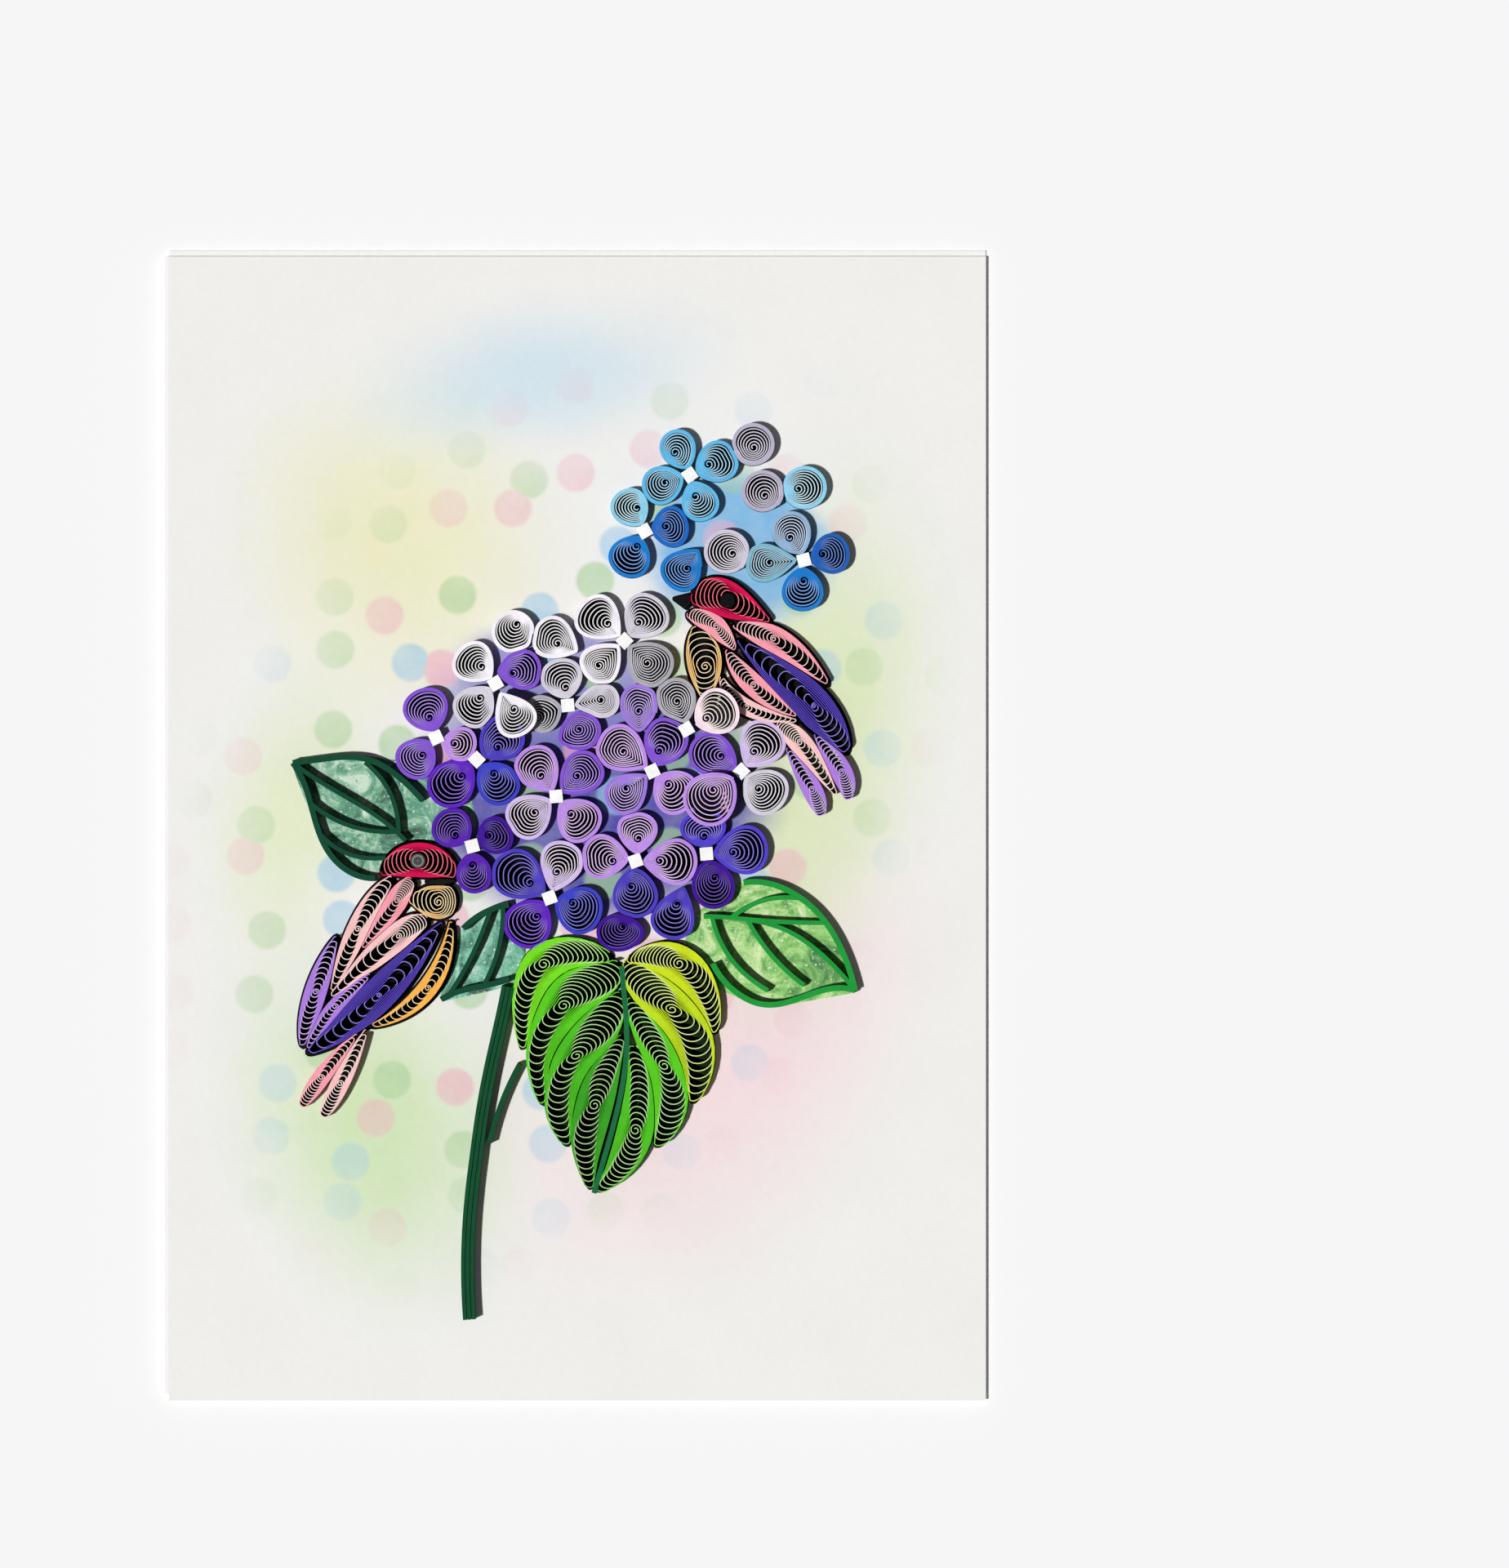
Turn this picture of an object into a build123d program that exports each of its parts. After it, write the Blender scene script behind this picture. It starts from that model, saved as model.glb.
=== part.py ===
# Quilled greeting card: a folded card whose front carries flowers, two birds
# and leaves made of narrow paper strips, coiled, pinched and stood on edge.
# Millimetres. The card lies face up, X to the right and Y up the picture.
import math
import os
from build123d import *

os.makedirs("parts", exist_ok=True)

# Folded card
card_width = 127.0
card_height = 177.8
leaf_thickness = 0.4
leaf_gap = 0.6
leaf_slip = 1.0

# Paper strips
strip_height = 3.0
strip_thickness = 0.2
smallest_gap = 0.1
coil_clearance = 0.1
petal_turns = 4
feather_turns = 4
leaf_loop_turns = 6
head_turns = 3
petal_core_radius = 0.5
feather_core_radius = 0.25

# Flowers
square_side = 2.0
square_thickness = 0.3
petal_start = 1.2
raised_petal_start = 1.8
petal_eye = 0.44

# Birds
eye_radius = 1.15
eye_clearance = 0.12
eye_rise = 0.2

# Leaves and stem
outline_width = 0.9
vein_width = 0.7
stem_strip_width = 0.6
stem_strips = 3
branch_width = 0.8
midrib_width = 0.8

# Points along each side of a coil and of a strip
side_steps = 10
fine_steps = 4
ribbon_steps = 8
least_slope = 0.4

fold_radius = leaf_thickness + leaf_gap / 2
card_thickness = 2 * fold_radius
front_x = fold_radius / 2
front_y = -leaf_slip / 2
raised_base = card_thickness + strip_height


def picture_plane(height):
    return Plane(origin=(front_x, front_y, height))


# Flowers: centre, turn of the square, and petals as
# (direction, reach, width, point), where point 0.5 is round and 1 is sharp
flowers = {
    "sky_flower": ((17.5, 54.8), 35, [
        (114, 7.3, 5.2, 0.7), (26, 7.8, 6.1, 0.7), (200, 7.5, 5.6, 0.7), (291, 7.3, 5.4, 0.7)]),
    "blue_flower": ((10.5, 46.1), 30, [
        (122, 7.1, 5.5, 0.7), (10, 6.7, 6.1, 0.7), (241, 7.6, 6.2, 0.7)]),
    "slate_flower": ((35.2, 41.6), 15, [
        (114, 7.8, 5.7, 0.7), (184, 8.9, 5.6, 1.0), (14, 7.0, 5.9, 0.7), (268, 7.7, 6.1, 0.7)]),
    "pearl_flower_left": ((-12.6, 22.5), 30, [
        (137, 7.6, 6.3, 0.8), (228, 7.9, 6.1, 0.8)]),
    "pearl_flower_middle": ((-1.4, 19.1), 5, [
        (103, 7.2, 6.2, 0.7), (199, 6.5, 5.6, 0.7), (8, 7.9, 5.0, 0.9)]),
    "violet_flower_left": ((-21.8, 14.1), 25, [
        (110, 7.8, 6.7, 0.7), (345, 6.2, 5.2, 0.7), (227, 7.4, 6.1, 0.7)]),
    "indigo_flower_left": ((-15.5, 10.7), 45, [
        (41, 8.4, 6.6, 0.7), (224, 9.1, 6.9, 0.7), (312, 8.2, 6.2, 0.7)]),
    "lilac_flower_middle": ((-3.2, 5.0), 5, [
        (124, 8.6, 6.5, 0.8), (43, 8.7, 6.2, 0.8), (216, 8.6, 6.6, 0.8), (314, 8.2, 6.7, 0.8)]),
    "pearl_flower_top": ((7.4, 29.1), 45, [
        (140, 8.7, 6.8, 0.9), (50, 8.2, 6.9, 0.8), (224, 8.0, 6.1, 0.9), (318, 8.7, 6.8, 0.8)]),
    "pearl_flower_right": ((17.0, 15.4), 30, [
        (109, 8.1, 5.8, 0.7)]),
    "lilac_flower_centre": ((11.7, 8.9), 25, [
        (145, 9.6, 6.9, 0.9), (67, 8.6, 6.5, 0.7), (221, 8.5, 5.9, 0.9), (318, 7.9, 6.8, 0.7)]),
    "lilac_flower_right": ((25.5, 8.9), 45, [
        (151, 8.7, 6.3, 0.7), (54, 8.7, 6.8, 0.8), (320, 8.1, 7.0, 0.7)]),
    "violet_flower_low": ((-16.2, -2.7), 15, [
        (139, 7.1, 6.0, 0.6), (25, 6.5, 5.6, 0.6), (274, 7.2, 5.2, 0.6)]),
    "indigo_flower_low": ((-4.2, -10.7), 20, [
        (145, 10.0, 7.3, 0.8), (72, 8.9, 6.4, 0.9), (231, 8.8, 7.2, 0.7), (338, 8.3, 7.2, 0.7)]),
    "lilac_flower_low": ((9.1, -5.0), 20, [
        (173, 8.2, 6.6, 0.8), (87, 7.4, 5.9, 0.8), (359, 9.4, 6.9, 0.9), (270, 8.7, 6.7, 0.7)]),
    "indigo_flower_right": ((20.1, -3.9), 5, [
        (98, 6.6, 6.8, 0.6), (6, 9.4, 7.3, 0.8), (282, 8.5, 6.3, 0.6)]),
}

# Petals that lie on top of the coils around them
raised_petals = {
    "pearl_flower_left": [(301, 9.0, 6.1, 1.0)],
    "pearl_flower_right": [(30, 8.6, 6.9, 0.7)],
    "lilac_flower_right": [(222, 10.4, 7.9, 0.7)],
}

# Single coils between the flowers: centre, length, width, way the point looks, point
single_coils = {
    "blue_single_coils": [
        ((16.6, 40.4), 6.9, 6.1, 51, 0.9), ((23.2, 42.9), 6.7, 6.5, 0, 0.5), ((27.3, 59.6), 6.3, 6.2, 0, 0.5),
        ((28.8, 52.3), 6.2, 6.1, 0, 0.5), ((35.3, 52.9), 6.5, 6.3, 0, 0.5)],
    "pearl_single_coils": [
        ((-9.9, 30.5), 6.3, 6.3, 0, 0.5), ((-3.2, 29.3), 7.3, 6.3, 331, 0.9)],
    "violet_single_coils": [
        ((-8.9, 24.6), 6.6, 6.0, 186, 0.8), ((0.3, 15.0), 6.6, 5.6, 205, 0.7), ((9.6, 18.7), 7.2, 5.5, 270, 0.7)],
    "indigo_single_coils": [
        ((15.2, -13.0), 8.2, 6.4, 71, 1.0), ((6.7, -16.1), 7.1, 5.5, 0, 0.6)],
}

# Feathers: start, end, bulge to the left and to the right of that line, point at the
# start and at the end, and the eye as a share along and a share from right to left
upper_bird = {
    "upper_bird_head": ((18.0, 36.1), (30.1, 32.0), 4.0, 1.5, 0.5, 1.1, 0.43, 0.45),
    "upper_bird_neck": ((17.3, 33.2), (24.5, 27.8), 2.6, 0.5, 0.6, 0.9, 0.42, 0.5),
    "upper_bird_breast": ((18.5, 31.2), (19.9, 19.9), 3.2, 1.9, 0.7, 0.9, 0.5, 0.5),
    "upper_bird_body": ((23.3, 27.6), (34.3, 17.4), 0.4, 2.6, 0.8, 1.0, 0.45, 0.5),
    "upper_bird_belly": ((22.6, 23.7), (34.3, 16.6), -1.2, 3.3, 0.6, 1.0, 0.4, 0.5),
    "upper_bird_wing_top": ((24.4, 31.4), (39.0, 22.4), 3.4, 0.4, 0.7, 1.0, 0.42, 0.5),
    "upper_bird_wing": ((25.0, 29.2), (41.9, 11.8), 4.1, 1.5, 1.0, 0.7, 0.55, 0.5),
}
upper_bird_tail = [
    ((31.2, 16.4), (40.4, 5.0), 2.3, 0.8, 0.6, 1.2, 0.35, 0.5),
    ((36.9, 14.6), (42.0, 4.6), 2.5, 0.4, 0.9, 0.55, 0.6, 0.5),
    ((32.6, 12.4), (37.9, 2.1), 1.9, 0.8, 1.0, 0.55, 0.63, 0.5),
]
lower_bird = {
    "lower_bird_head": ((-30.1, -6.9), (-18.8, -7.3), 4.8, 0.2, 0.5, 0.5, 0.48, 0.46),
    "lower_bird_throat": ((-25.9, -10.9), (-18.9, -11.2), 2.4, 2.7, 0.9, 0.5, 0.6, 0.5),
    "lower_bird_pink_feather_outer": ((-28.7, -7.6), (-38.0, -25.3), 0.7, 2.4, 0.7, 1.0, 0.42, 0.5),
    "lower_bird_pink_feather_middle": ((-25.8, -7.9), (-33.4, -18.7), 1.7, 1.4, 0.55, 1.1, 0.35, 0.5),
    "lower_bird_pink_feather_inner": ((-23.3, -14.0), (-38.5, -26.3), 1.2, 2.6, 0.5, 1.2, 0.32, 0.5),
    "lower_bird_violet_feather": ((-37.3, -16.8), (-42.6, -33.8), 1.0, 2.0, 0.9, 0.8, 0.53, 0.5),
    "lower_bird_lilac_feather": ((-32.0, -22.6), (-41.7, -34.3), 0.1, 2.0, 0.9, 0.8, 0.53, 0.5),
    "lower_bird_indigo_feather": ((-20.9, -14.6), (-41.9, -34.9), 3.7, 1.2, 1.0, 0.9, 0.52, 0.5),
    "lower_bird_orange_feather": ((-19.6, -14.4), (-32.0, -30.6), 4.8, -2.2, 0.9, 0.9, 0.5, 0.5),
}
lower_bird_tail = [
    ((-34.1, -31.8), (-42.6, -43.1), 0.8, 1.5, 1.0, 0.6, 0.6, 0.5),
    ((-32.6, -31.2), (-39.4, -44.7), 1.3, 1.1, 1.0, 0.6, 0.6, 0.5),
]
upper_beak_corners = [(15.1, 35.7), (17.5, 36.3), (17.7, 34.9), (17.0, 34.3)]
lower_beak = ((-23.4, -8.2), (-18.9, -8.0), 0.3, 0.6, 0.8, 0.8)

# Loops of the large leaf: two sides from the top end to the bottom end, and the eye as
# a share along and a share across from the second side to the first
leaf_loops = {
    "leaf_loop_left_1": (
        [(5.4, -19.9), (2.7, -17.9), (-4.2, -17.0), (-7.6, -18.9), (-9.3, -22.2), (-9.9, -26.9), (-8.8, -33.7)],
        [(5.4, -19.9), (0.8, -20.6), (-2.8, -21.9), (-5.3, -24.8), (-7.1, -28.6), (-8.8, -33.7)],
        (0.42, 0.5)),
    "leaf_loop_left_2": (
        [(5.8, -20.4), (0.8, -21.0), (-2.6, -22.2), (-5.0, -25.0), (-7.2, -30.0), (-7.5, -37.2), (-5.6, -42.3)],
        [(5.8, -20.4), (5.9, -23.6), (2.5, -26.7), (-1.2, -30.2), (-4.0, -34.4), (-5.2, -38.6), (-5.6, -42.3)],
        (0.37, 0.5)),
    "leaf_loop_left_3": (
        [(6.2, -25.2), (2.7, -27.1), (-0.9, -30.5), (-3.7, -34.7), (-4.9, -38.8), (-5.0, -42.4), (-3.8, -46.0), (-1.8, -48.7)],
        [(6.2, -25.2), (6.2, -30.4), (4.2, -33.6), (1.1, -37.2), (-0.5, -41.0), (-1.3, -44.8), (-1.8, -48.7)],
        (0.4, 0.5)),
    "leaf_loop_left_4": (
        [(6.6, -31.7), (4.4, -34.0), (1.4, -37.5), (-0.1, -41.3), (-0.9, -45.2), (-0.4, -50.2), (1.8, -55.4)],
        [(6.6, -31.7), (6.3, -36.6), (5.1, -42.8), (3.1, -49.8), (1.8, -55.4)],
        (0.45, 0.5)),
    "leaf_loop_right_1": (
        [(7.5, -20.0), (9.5, -18.5), (14.0, -17.4), (18.5, -19.6), (20.7, -23.3), (21.5, -27.2), (21.1, -31.2)],
        [(7.5, -20.0), (12.0, -21.5), (15.4, -23.7), (18.1, -26.5), (19.9, -29.0), (21.1, -31.2)],
        (0.42, 0.5)),
    "leaf_loop_right_2": (
        [(7.3, -20.4), (11.8, -21.9), (15.1, -24.1), (17.8, -26.9), (19.9, -30.4), (20.3, -37.0), (17.6, -42.0)],
        [(7.3, -20.4), (8.5, -25.6), (11.1, -28.4), (13.4, -30.9), (15.4, -34.3), (16.7, -38.2), (17.6, -42.0)],
        (0.38, 0.5)),
    "leaf_loop_right_3": (
        [(7.8, -26.0), (10.8, -28.7), (13.1, -31.3), (15.1, -34.7), (16.4, -38.7), (16.2, -43.2), (12.0, -48.8)],
        [(7.8, -26.0), (8.4, -30.4), (9.9, -34.0), (11.4, -38.2), (11.9, -42.2), (12.0, -46.0), (12.0, -48.8)],
        (0.48, 0.5)),
    "leaf_loop_right_4": (
        [(8.1, -33.4), (9.5, -35.2), (10.9, -38.8), (11.4, -42.4), (11.3, -46.0), (8.2, -52.2), (2.9, -55.7)],
        [(8.1, -33.4), (7.2, -40.2), (6.3, -44.8), (4.9, -49.8), (2.9, -55.7)],
        (0.46, 0.5)),
}
leaf_midrib = [(6.6, -20.8), (7.0, -25.4), (7.4, -32.4), (7.0, -37.5), (5.8, -43.6), (4.0, -50.2), (2.3, -56.0)]

# Outline leaves: edge and vein strips as the points they pass through
outline_leaves = {
    "outline_leaf_left": (
        [[(-44.4, 10.7), (-39.0, 11.4), (-32.7, 11.2), (-28.2, 8.7), (-24.3, 4.9)],
         [(-44.4, 10.7), (-42.4, 6.9), (-40.6, 0.7), (-38.5, -3.6), (-35.4, -6.3), (-31.6, -7.2)]],
        [[(-44.2, 10.6), (-36.3, 5.5), (-29.7, 1.2), (-26.9, -1.4)],
         [(-33.2, 10.8), (-29.3, 6.0), (-28.0, 0.0)],
         [(-41.5, 4.3), (-37.2, 1.6), (-28.4, 0.0)],
         [(-40.3, -0.2), (-36.3, -3.2), (-30.0, -4.0)]]),
    "outline_leaf_behind_bird": (
        [[(-18.0, -15.0), (-14.5, -12.4), (-10.9, -11.3)],
         [(-21.4, -26.0), (-18.8, -24.8), (-14.5, -23.8), (-10.8, -22.8)]],
        [[(-13.8, -12.2), (-15.7, -17.2), (-20.2, -25.3)],
         [(-11.8, -11.6), (-12.3, -17.2), (-14.8, -23.8)]]),
    "outline_leaf_right": (
        [[(25.5, -7.9), (28.2, -7.8), (32.4, -9.1), (37.2, -12.8), (40.6, -18.1), (42.8, -24.6)],
         [(42.8, -24.6), (38.5, -24.4), (33.6, -26.0), (28.8, -26.8), (24.0, -24.6), (20.7, -20.4)]],
        [[(19.3, -13.1), (25.4, -13.5), (31.5, -15.0), (37.6, -19.0), (42.6, -24.4)],
         [(23.6, -13.3), (27.5, -11.0), (34.2, -10.3)],
         [(25.4, -13.5), (32.4, -14.0), (38.3, -14.1)],
         [(20.6, -13.2), (22.2, -17.6), (29.3, -24.6)],
         [(26.1, -13.6), (29.7, -19.0), (34.9, -23.8)]]),
}
stem_path = [(-11.0, -24.0), (-13.1, -33.7), (-14.5, -40.3), (-15.7, -48.2), (-16.9, -58.2), (-17.3, -68.6), (-17.0, -75.6)]
stem_strip_pitch = stem_strip_width + 0.1
branch_path = [(-9.2, -36.0), (-11.5, -40.7), (-13.9, -48.2)]


def steps_along():
    # Shares from 0 to 1 that crowd towards both ends
    count = side_steps * fine_steps
    return [(1 - math.cos(math.pi * step / count)) / 2 for step in range(count + 1)]


def bulged_sides(start, end, left, right, start_point, end_point):
    # The two sides of an outline that bulges to the left and right of the line start to end
    run_x = end[0] - start[0]
    run_y = end[1] - start[1]
    length = math.hypot(run_x, run_y)
    widest = start_point / (start_point + end_point)
    full = widest ** start_point * (1 - widest) ** end_point
    sides = []
    for bulge in (left, -right):
        side = []
        for share in steps_along():
            rise = bulge * share ** start_point * (1 - share) ** end_point / full / length
            side.append((start[0] + run_x * share - run_y * rise, start[1] + run_y * share + run_x * rise))
        sides.append(side)
    return sides


def drawn_sides(first, second):
    # The two sides of an outline that passes through given points
    sides = []
    for points in (first, second):
        curve = Spline(*points, mode=Mode.PRIVATE)
        sides.append([(curve.position_at(share).X, curve.position_at(share).Y) for share in steps_along()])
    return sides


class Coil:
    # A strip coiled inside an outline, packed at its glued outer end and loose towards its
    # eye. It is laid out along a straight spine, which is then bent to the outline's middle.
    def __init__(self, sides, eye):
        self.middle = [((a[0] + b[0]) / 2, (a[1] + b[1]) / 2) for a, b in zip(*sides)]
        self.along = [0.0]
        for a, b in zip(self.middle, self.middle[1:]):
            self.along.append(self.along[-1] + math.dist(a, b))
        halves = [math.dist(a, b) / 2 for a, b in zip(*sides)]
        self.across = []
        for place in range(len(self.middle)):
            inside = min(max(place, 1), len(self.middle) - 2)
            a = sides[0][inside]
            b = sides[1][inside]
            self.across.append(((a[0] - b[0]) / 2 / halves[inside], (a[1] - b[1]) / 2 / halves[inside]))
        knots = range(0, len(self.middle), fine_steps)
        loop = [(self.along[knot], halves[knot]) for knot in knots][:-1]
        loop += [(self.along[knot], -halves[knot]) for knot in reversed(knots)][:-1]
        eye_along = eye[0] * self.along[-1]
        place = min(range(len(halves)), key=lambda near: abs(self.along[near] - eye_along))
        self.eye = (eye_along, (2 * eye[1] - 1) * halves[place])
        self.loop = [(x - self.eye[0], y - self.eye[1]) for x, y in loop]
        self.half = len(self.loop) // 2
        start = math.atan2(self.loop[0][1], self.loop[0][0])
        end = math.atan2(self.loop[self.half][1], self.loop[self.half][0])
        self.headings = [start + (end - start) % (-2 * math.pi) * step / self.half for step in range(self.half)]
        self.headings += [end + (start - end) % (-2 * math.pi) * step / self.half for step in range(self.half)]
        self.nearest = min(math.hypot(x, y) for x, y in self.loop)

    def bend(self, x, y):
        # From the straight spine to the picture
        after = 1
        while after < len(self.along) - 1 and self.along[after] < x:
            after += 1
        share = (x - self.along[after - 1]) / (self.along[after] - self.along[after - 1])
        spot = []
        for axis in (0, 1):
            middle = self.middle[after - 1][axis] * (1 - share) + self.middle[after][axis] * share
            across = self.across[after - 1][axis] * (1 - share) + self.across[after][axis] * share
            spot.append(middle + y * across)
        return tuple(spot)

    def place(self, index, scale):
        # The outline shrunk towards the eye, and rounder as it shrinks
        x, y = self.loop[index]
        round_part = scale * (1 - scale) * self.nearest
        return self.bend(self.eye[0] + scale * scale * x + round_part * math.cos(self.headings[index]),
                         self.eye[1] + scale * scale * y + round_part * math.sin(self.headings[index]))

    def rate(self, index, scale):
        # Distance across the strip for each unit of scale
        here = self.place(index, scale)
        inward = self.place(index, scale - 0.01)
        step = ((inward[0] - here[0]) / 0.01, (inward[1] - here[1]) / 0.01)
        across = []
        for other in (index - 1, (index + 1) % len(self.loop)):
            beside = self.place(other, scale)
            run = (beside[0] - here[0], beside[1] - here[1])
            across.append(abs(step[0] * run[1] - step[1] * run[0]) / math.hypot(*run))
        return max(sum(across) / 2, math.hypot(*step) * least_slope)

    def scale_at(self, index, depth):
        return 1 - depth / self.rate(index, 1)

    def wind(self, wanted_turns, inner_radius):
        # As many turns as fit between the packed outer turn and the eye
        packed_depth = coil_clearance / 2 + 1.5 * strip_thickness
        self.packed = [self.scale_at(index, packed_depth) for index in range(len(self.loop))]
        innermost = inner_radius + strip_thickness / 2
        depth = self.nearest - packed_depth
        room = int((depth - innermost) / (strip_thickness + smallest_gap))
        self.turns = max(2, min(wanted_turns, 1 + room))
        self.core_share = innermost / depth

    def wall(self, index, turn, side):
        # A point on the outer (1) or inner (-1) face of the strip, so many turns in
        if turn < 1:
            scale = self.scale_at(index, coil_clearance / 2 + strip_thickness * (0.5 + turn))
        else:
            scale = self.packed[index] * (1 - (1 - self.core_share) * (turn - 1) / (self.turns - 1))
        return self.place(index, scale + side * strip_thickness / 2 / self.rate(index, scale))


def join_with_splines(points, half):
    # Splines through a run of points, one for each half turn
    for begin in range(0, len(points) - 1, half):
        Spline(*points[begin:begin + half + 1])


def coil_face(sides, eye, wanted_turns, inner_radius):
    # One coiled strip seen end on: its outline less the spiral gap between its turns,
    # which opens half a turn in, past the strip's glued end
    coil = Coil(sides, eye)
    coil.wind(wanted_turns, inner_radius)
    count = len(coil.loop)
    outline = [coil.place(step % count, coil.scale_at(step % count, coil_clearance / 2)) for step in range(count + 1)]
    outer = []
    for step in range(coil.half, coil.turns * count + 1):
        outer.append(coil.wall(step % count, step / count, -1))
    inner = []
    for step in range(coil.half, (coil.turns - 1) * count + 1):
        inner.append(coil.wall(step % count, step / count + 1, 1))
    with BuildLine() as outline_wire:
        join_with_splines(outline, coil.half)
    make_face(outline_wire.edges())
    with BuildLine() as gap_wire:
        join_with_splines(outer, coil.half)
        join_with_splines(inner, coil.half)
        Line(outer[0], inner[0])
        Line(outer[-1], inner[-1])
    make_face(gap_wire.edges(), mode=Mode.SUBTRACT)


def petal_face(centre, start, petal):
    direction, reach, width, point = petal
    angle = math.radians(direction)
    tip = (centre[0] + start * math.cos(angle), centre[1] + start * math.sin(angle))
    far = (centre[0] + reach * math.cos(angle), centre[1] + reach * math.sin(angle))
    feather_face((tip, far, width / 2, width / 2, point, 0.5, petal_eye, 0.5), petal_turns, petal_core_radius)


def single_face(coil):
    middle, length, width, looks, point = coil
    angle = math.radians(looks)
    half_x = length / 2 * math.cos(angle)
    half_y = length / 2 * math.sin(angle)
    tip = (middle[0] + half_x, middle[1] + half_y)
    far = (middle[0] - half_x, middle[1] - half_y)
    feather_face((tip, far, width / 2, width / 2, point, 0.5, petal_eye, 0.5), petal_turns, petal_core_radius)


def feather_face(feather, turns, inner_radius):
    coil_face(bulged_sides(*feather[:6]), feather[6:], turns, inner_radius)


def ribbon(points, width, shift=0.0):
    # A strip on edge along a path, moved sideways by shift
    path = Spline(*points, mode=Mode.PRIVATE)
    sides = []
    for offset in (shift + width / 2, shift - width / 2):
        side = []
        for step in range(ribbon_steps + 1):
            place = path.position_at(step / ribbon_steps)
            heading = path.tangent_at(step / ribbon_steps)
            side.append((place.X - heading.Y * offset, place.Y + heading.X * offset))
        sides.append(side)
    with BuildLine() as ribbon_wire:
        Spline(*sides[0])
        Spline(*sides[1])
        Line(sides[0][0], sides[1][0])
        Line(sides[0][-1], sides[1][-1])
    make_face(ribbon_wire.edges())


def save(piece, name):
    piece.label = name
    export_step(piece, "parts/" + name + ".step")


# Card: one sheet folded at the left, its back leaf a little up from the front one
with BuildPart() as card:
    with Locations((front_x, front_y, card_thickness - leaf_thickness / 2)):
        Box(card_width, card_height, leaf_thickness)
    with Locations((front_x, front_y + leaf_slip, leaf_thickness / 2)):
        Box(card_width, card_height, leaf_thickness)
    with BuildSketch(Plane.XZ.offset(-(front_y + card_height / 2))):
        with Locations((front_x - card_width / 2, fold_radius)):
            Circle(fold_radius)
            Circle(leaf_gap / 2, mode=Mode.SUBTRACT)
            with Locations((fold_radius, 0)):
                Rectangle(2 * fold_radius, 2 * fold_radius, mode=Mode.SUBTRACT)
    extrude(amount=card_height - leaf_slip)
save(card.part, "card")

# Flowers
for name, (centre, square_turn, petals) in flowers.items():
    with BuildPart() as flower:
        with BuildSketch(picture_plane(card_thickness)):
            for petal in petals:
                petal_face(centre, petal_start, petal)
        extrude(amount=strip_height)
        if name in raised_petals:
            with BuildSketch(picture_plane(raised_base)):
                for petal in raised_petals[name]:
                    petal_face(centre, raised_petal_start, petal)
            extrude(amount=strip_height)
    save(flower.part, name)

# Flower centres: a paper square on the petal tips of each flower
with BuildPart() as flower_centres:
    with BuildSketch(picture_plane(raised_base)):
        for centre, square_turn, petals in flowers.values():
            with Locations(centre):
                Rectangle(square_side, square_side, rotation=square_turn)
    extrude(amount=square_thickness)
save(flower_centres.part, "flower_centres")

# Single coils
for name, coils in single_coils.items():
    with BuildPart() as singles:
        with BuildSketch(picture_plane(card_thickness)):
            for coil in coils:
                single_face(coil)
        extrude(amount=strip_height)
    save(singles.part, name)

# Bird feathers, each one coil pinched at one or both ends
for name, feather in {**upper_bird, **lower_bird}.items():
    turns = feather_turns
    inner_radius = feather_core_radius
    if name.endswith("head"):
        turns = head_turns
        inner_radius = eye_radius + eye_clearance
    with BuildPart() as plume:
        with BuildSketch(picture_plane(card_thickness)):
            feather_face(feather, turns, inner_radius)
        extrude(amount=strip_height)
    save(plume.part, name)

# Tails
for name, feathers in {"upper_bird_tail": upper_bird_tail, "lower_bird_tail": lower_bird_tail}.items():
    with BuildPart() as tail:
        with BuildSketch(picture_plane(card_thickness)):
            for feather in feathers:
                feather_face(feather, feather_turns, feather_core_radius)
        extrude(amount=strip_height)
    save(tail.part, name)

# Bird eyes: tight rolls in the heads
for bird, head in {"upper_bird": upper_bird["upper_bird_head"], "lower_bird": lower_bird["lower_bird_head"]}.items():
    with BuildPart() as bird_eye:
        with BuildSketch(picture_plane(card_thickness)):
            coil = Coil(bulged_sides(*head[:6]), head[6:])
            with Locations(coil.bend(*coil.eye)):
                Circle(eye_radius)
        extrude(amount=strip_height + eye_rise)
    save(bird_eye.part, bird + "_eye")

# Beaks: folded wedges of the same strip
with BuildPart() as upper_bird_beak:
    with BuildSketch(picture_plane(card_thickness)):
        Polygon(*upper_beak_corners, align=None)
    extrude(amount=strip_height)
save(upper_bird_beak.part, "upper_bird_beak")

with BuildPart() as lower_bird_beak:
    with BuildSketch(picture_plane(card_thickness)):
        beak_sides = bulged_sides(*lower_beak)
        with BuildLine():
            Spline(*beak_sides[0])
            Spline(*beak_sides[1])
        make_face()
    extrude(amount=strip_height)
save(lower_bird_beak.part, "lower_bird_beak")

# Large leaf: loops on each side of a midrib
for name, (outer_side, inner_side, eye) in leaf_loops.items():
    with BuildPart() as leaf_loop:
        with BuildSketch(picture_plane(card_thickness)):
            coil_face(drawn_sides(outer_side, inner_side), eye, leaf_loop_turns, petal_core_radius)
        extrude(amount=strip_height)
    save(leaf_loop.part, name)

with BuildPart() as midrib:
    with BuildSketch(picture_plane(card_thickness)):
        ribbon(leaf_midrib, midrib_width)
    extrude(amount=strip_height)
save(midrib.part, "leaf_midrib")

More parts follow.
